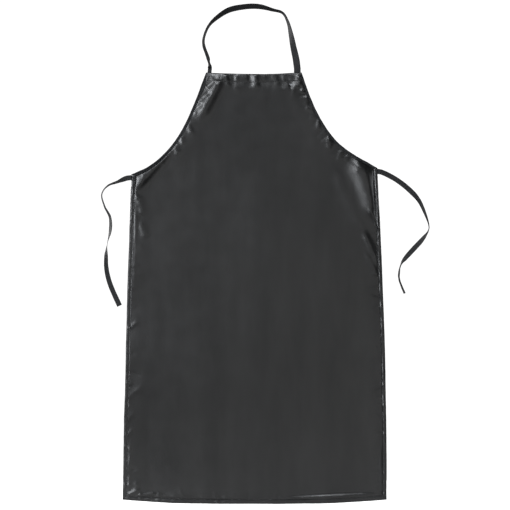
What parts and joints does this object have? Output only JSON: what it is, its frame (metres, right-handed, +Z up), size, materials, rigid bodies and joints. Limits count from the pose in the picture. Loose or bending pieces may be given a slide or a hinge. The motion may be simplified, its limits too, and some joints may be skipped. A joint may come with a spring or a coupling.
{
  "type": "lead apron",
  "caption": "Black coated bib apron with shielding sheets inside, bound edges, a tape neck loop and waist ties.",
  "frame": {"origin": "the middle of the apron's back face at the height of the waist corners, on the back plane", "axes": "+Z up the apron towards the bib, +X to the viewer's right seen from the front, +Y out of the back face, so the front faces -Y"},
  "size_m": [0.7624, 0.0171, 1.1615],
  "materials": {
    "cover_sheet": "soft semi-gloss PVC-coated fabric, near black, fine embossed grain",
    "lining": "matte coated nylon, plain weave, near black",
    "shielding_sheet": "matte lead-loaded vinyl, dark grey",
    "edge_band": "satin coated edge band, near black",
    "tape": "matte woven tape, near black, slightly ribbed",
    "thread": "twisted polyester sewing thread, dark grey"
  },
  "bodies": {
    "apron": {"front_cover": "cover_sheet", "back_cover": "lining", "core_sheet_front": "shielding_sheet", "core_sheet_rear": "shielding_sheet", "bib_hem": "edge_band", "bottom_hem": "edge_band", "side_hem_left": "edge_band", "side_hem_right": "edge_band", "armhole_binding_left": "edge_band", "armhole_binding_right": "edge_band", "bib_hem_thread": "thread", "bottom_hem_thread": "thread", "side_hem_thread_left": "thread", "side_hem_thread_right": "thread", "armhole_thread_left": "thread", "armhole_thread_right": "thread", "neck_strap_end_left": "tape", "neck_strap_end_right": "tape", "waist_tie_end_left": "tape", "waist_tie_end_right": "tape", "neck_box_stitch_left": "thread", "neck_box_stitch_right": "thread", "waist_box_stitch_left": "thread", "waist_box_stitch_right": "thread"},
    "neck_strap": {"neck_strap": "tape", "neck_strap_thread": "thread"},
    "waist_tie_left": {"waist_tie_left": "tape", "waist_tie_left_thread": "thread"},
    "waist_tie_right": {"waist_tie_right": "tape", "waist_tie_right_thread": "thread"}
  },
  "joints": [
    {"name": "neck_strap_fold", "type": "hinge", "parent": "apron", "child": "neck_strap", "pos_m": [0, -0.00185, 0.235], "axis": [1, 0, 0], "range_deg": [-150, 125]},
    {"name": "waist_tie_left_swing", "type": "hinge", "parent": "apron", "child": "waist_tie_left", "pos_m": [-0.293, -0.00185, -0.0144], "axis": [0, 0, -1], "range_deg": [-140, 140]},
    {"name": "waist_tie_right_swing", "type": "hinge", "parent": "apron", "child": "waist_tie_right", "pos_m": [0.289, -0.00185, 0.0006], "axis": [0, 0, 1], "range_deg": [-140, 140]}
  ]
}
